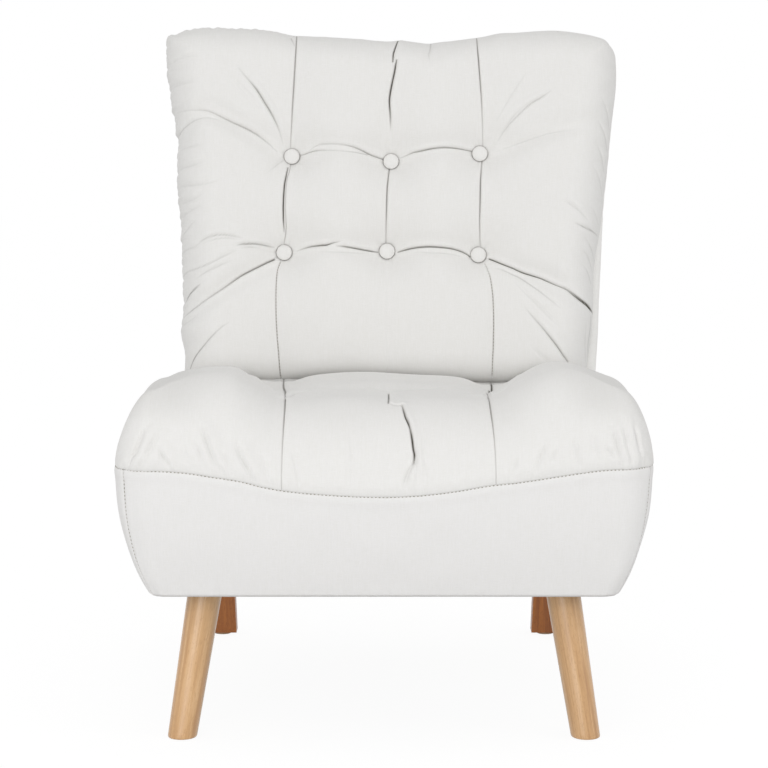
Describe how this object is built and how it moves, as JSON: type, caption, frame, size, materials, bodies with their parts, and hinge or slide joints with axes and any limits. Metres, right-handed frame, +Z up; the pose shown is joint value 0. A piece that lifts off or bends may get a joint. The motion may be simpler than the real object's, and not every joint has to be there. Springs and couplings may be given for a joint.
{
  "type": "accent chair",
  "caption": "Armless upholstered lounge chair with a boat-shaped base, a channelled seat, a tufted reclined back and splayed wooden legs.",
  "frame": {"origin": "on the floor under the middle of the chair's width and depth", "axes": "+Z up, -Y towards the front of the chair, +X to the right as seen from the front"},
  "size_m": [0.656, 0.7562, 0.8842],
  "materials": {
    "beech": "turned, clear satin lacquer",
    "black_cambric": "thin nonwoven",
    "black_nylon": "moulded",
    "cover_fabric": "woven, linen look, matt",
    "felt": "needled felt",
    "foam": "cut polyurethane foam",
    "hardboard": "pressed fibre, smooth",
    "pine": "planed, bare",
    "stained_beech": "planed, brown stain, satin",
    "webbing": "woven elastic",
    "white_nylon": "moulded",
    "zinc_plated_steel": "zinc plated"
  },
  "bodies": {
    "root": {"front_leg_left": "beech", "front_leg_right": "beech", "rear_leg_left": "stained_beech", "rear_leg_right": "stained_beech", "leg_glides": "black_nylon", "leg_plates": "zinc_plated_steel", "plate_screws": "zinc_plated_steel", "hanger_bolts": "zinc_plated_steel", "front_rail": "pine", "rear_rail": "pine", "side_rail_left": "pine", "side_rail_right": "pine", "corner_blocks": "pine", "block_screws": "zinc_plated_steel", "frame_dowels": "pine", "seat_springs": "zinc_plated_steel", "spring_clips": "zinc_plated_steel", "spring_felt": "felt", "seat_foam": "foam", "seat_cushion": "cover_fabric", "base_cover_front": "cover_fabric", "base_cover_left": "cover_fabric", "base_cover_right": "cover_fabric", "base_pad_front": "foam", "base_pad_left": "foam", "base_pad_right": "foam", "dust_cover": "black_cambric", "back_post_left": "pine", "back_post_right": "pine", "post_bolts": "zinc_plated_steel", "post_nuts": "zinc_plated_steel", "back_top_rail": "pine", "back_lumbar_rail": "pine", "back_dowels": "pine", "back_webbing": "webbing", "back_foam": "foam", "back_side_foam_left": "foam", "back_side_foam_right": "foam", "back_top_foam": "foam", "back_lining": "hardboard", "back_rear_cover": "cover_fabric", "back_side_cover_left": "cover_fabric", "back_side_cover_right": "cover_fabric", "back_top_cover": "cover_fabric", "back_cushion": "cover_fabric", "back_buttons": "cover_fabric", "tuft_clasps": "white_nylon"}
  },
  "joints": []
}
